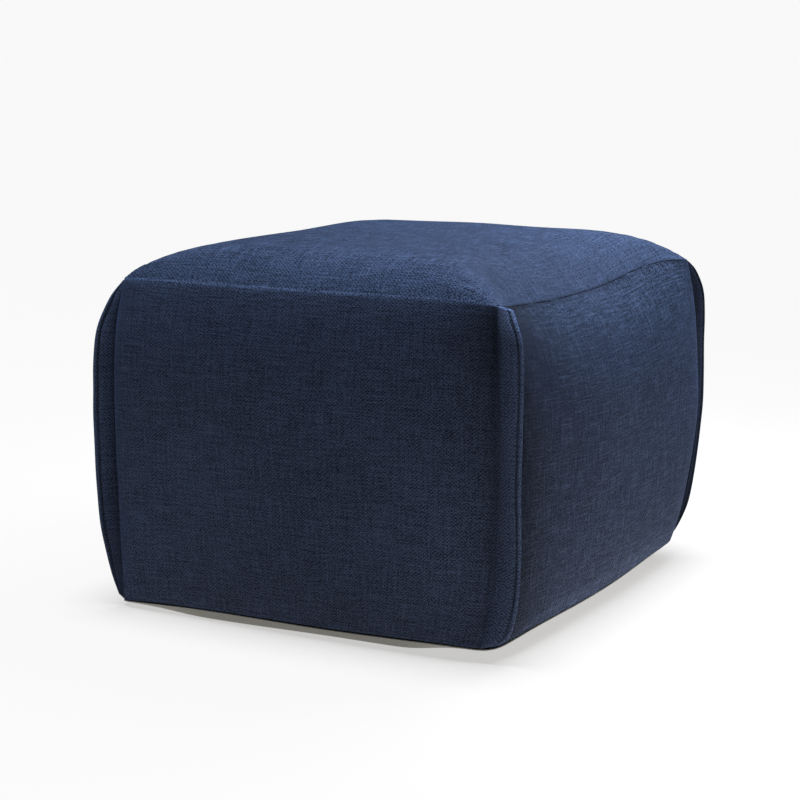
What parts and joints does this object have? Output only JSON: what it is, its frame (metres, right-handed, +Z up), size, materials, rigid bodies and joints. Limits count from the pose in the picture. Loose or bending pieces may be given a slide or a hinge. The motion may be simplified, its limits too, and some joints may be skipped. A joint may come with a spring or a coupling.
{
  "type": "pleated pouf",
  "caption": "Soft square floor pouf with a crowned top, swelling sides and an edge-stitched pleat standing out along each upright corner.",
  "frame": {"origin": "on the floor, under the middle of the pouf's flat base", "axes": "+Z up, -Y out of the front face, +X to the right of it"},
  "size_m": [0.5134, 0.5372, 0.404],
  "materials": {
    "navy_linen": "slubby plain weave, dull, with a faint bloom at grazing angles",
    "grey_base_cloth": "plain close weave, dull"
  },
  "bodies": {
    "root": {"filled_body": "navy_linen", "top_panel": "navy_linen", "base_panel": "grey_base_cloth", "corner_pleat_front_left": "navy_linen", "corner_pleat_front_right": "navy_linen", "corner_pleat_back_right": "navy_linen", "corner_pleat_back_left": "navy_linen"}
  },
  "joints": []
}
